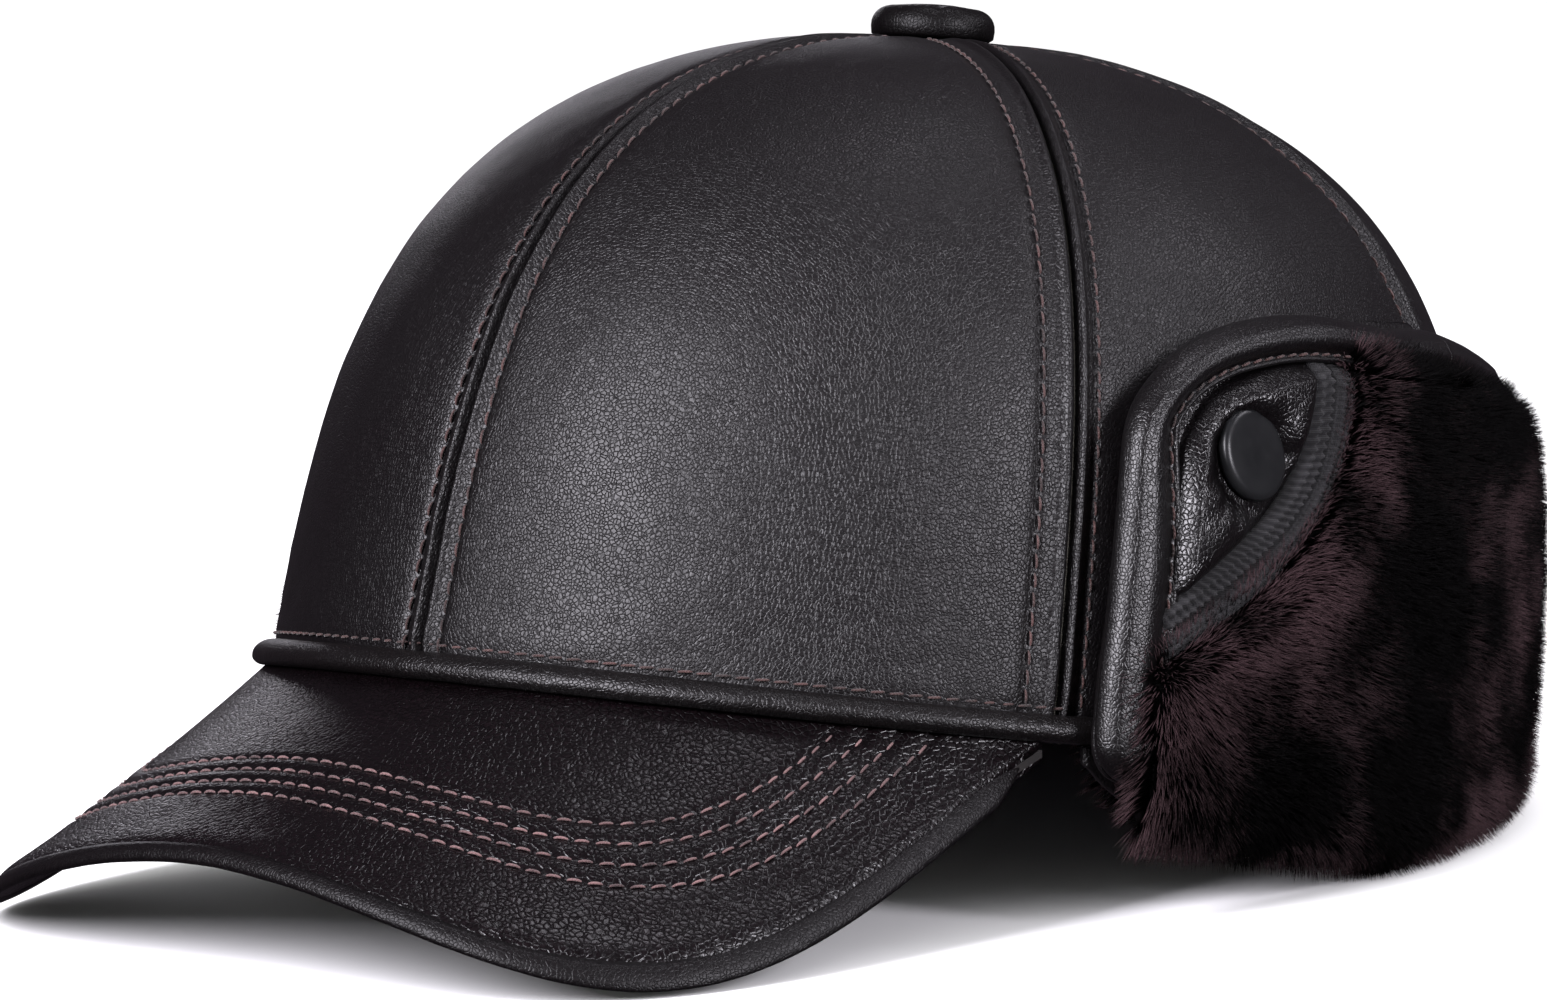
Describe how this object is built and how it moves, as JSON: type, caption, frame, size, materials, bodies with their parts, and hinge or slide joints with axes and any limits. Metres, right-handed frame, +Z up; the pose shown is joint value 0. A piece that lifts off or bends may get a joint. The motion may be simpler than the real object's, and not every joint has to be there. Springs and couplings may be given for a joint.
{
  "type": "trapper hat",
  "caption": "Leather trapper hat: panelled crown, curved bill and a fur-lined wrap-around ear flap turned up and snapped.",
  "frame": {"origin": "table level, under the middle of the hat's box", "axes": "+Z up, the bill points to -Y, the wearer's left is +X"},
  "size_m": [0.214, 0.2967, 0.1436],
  "materials": {
    "crown_leather": "fine-grained soft leather, espresso black, satin",
    "board": "flexible white bill board",
    "rim_binding": "smooth dark edge binding",
    "bill_leather": "pebble-grained leather, dark brown, satin",
    "button_core": "stamped button core",
    "button_leather": "grained leather stretched over a button",
    "snap_metal": "gunmetal press-stud parts",
    "lining_cloth": "quilted black lining cloth",
    "wadding": "soft white polyester wadding",
    "flap_leather": "fine-grained soft leather, satin",
    "welt_leather": "smooth leather roll, satin",
    "fur": "dense dark brown plush pile",
    "binding_leather": "smooth rolled leather edge, satin gloss",
    "snap_cap": "black enamelled dome",
    "patch_leather": "padded grained leather, satin gloss",
    "ribbed_tape": "ribbed grosgrain tape",
    "sweatband_leather": "smooth leather band, matt",
    "cord": "cotton filler cord"
  },
  "bodies": {
    "root": {"back_panel_left": "crown_leather", "back_panel_right": "crown_leather", "bill_board": "board", "bill_edge_binding": "rim_binding", "bill_top_cover": "bill_leather", "bill_under_cover": "bill_leather", "button_core": "button_core", "button_cover": "button_leather", "button_rivet": "snap_metal", "crown_lining": "lining_cloth", "crown_wadding": "wadding", "flap_foot_strip": "flap_leather", "front_panel_left": "crown_leather", "front_panel_right": "crown_leather", "front_welt": "welt_leather", "inner_fur_cuff": "fur", "side_panel_left": "crown_leather", "side_panel_right": "crown_leather", "snap_stud_left": "snap_metal", "snap_stud_right": "snap_metal", "sweatband": "sweatband_leather", "welt_cord": "cord"},
    "left_ear": {"left_ear_binding": "binding_leather", "left_ear_fur": "fur", "left_ear_leather": "flap_leather", "left_ear_snap_cap": "snap_cap", "left_ear_snap_patch": "patch_leather", "left_ear_snap_socket": "snap_metal", "left_ear_tape": "ribbed_tape"},
    "left_rear": {"left_rear_binding": "binding_leather", "left_rear_fur": "fur", "left_rear_leather": "flap_leather"},
    "neck": {"neck_binding": "binding_leather", "neck_fur": "fur", "neck_leather": "flap_leather"},
    "right_rear": {"right_rear_binding": "binding_leather", "right_rear_fur": "fur", "right_rear_leather": "flap_leather"},
    "right_ear": {"right_ear_binding": "binding_leather", "right_ear_fur": "fur", "right_ear_leather": "flap_leather", "right_ear_snap_cap": "snap_cap", "right_ear_snap_patch": "patch_leather", "right_ear_snap_socket": "snap_metal", "right_ear_tape": "ribbed_tape"}
  },
  "joints": [
    {"name": "left_ear_fold", "type": "hinge", "parent": "root", "child": "left_ear", "pos_m": [0.08626, 0.01133, 0.00812], "axis": [-0.0049, 0.9978, -0.0668], "range_deg": [0, 178]},
    {"name": "left_rear_fold", "type": "hinge", "parent": "root", "child": "left_rear", "pos_m": [0.0587, 0.08881, 0.00293], "axis": [-0.6323, 0.773, -0.0518], "range_deg": [0, 178]},
    {"name": "neck_fold", "type": "hinge", "parent": "root", "child": "neck", "pos_m": [0, 0.12223, 0.00069], "axis": [-1, 0, 0], "range_deg": [0, 178]},
    {"name": "right_rear_fold", "type": "hinge", "parent": "root", "child": "right_rear", "pos_m": [-0.0587, 0.08881, 0.00293], "axis": [-0.6323, -0.773, 0.0518], "range_deg": [0, 178]},
    {"name": "right_ear_fold", "type": "hinge", "parent": "root", "child": "right_ear", "pos_m": [-0.08626, 0.01133, 0.00812], "axis": [-0.0049, -0.9978, 0.0668], "range_deg": [0, 178]}
  ],
  "couplings": [
    {"joint": "left_ear_fold", "follows": "neck_fold", "ratio": 1},
    {"joint": "left_rear_fold", "follows": "neck_fold", "ratio": 1},
    {"joint": "right_rear_fold", "follows": "neck_fold", "ratio": 1},
    {"joint": "right_ear_fold", "follows": "neck_fold", "ratio": 1}
  ]
}
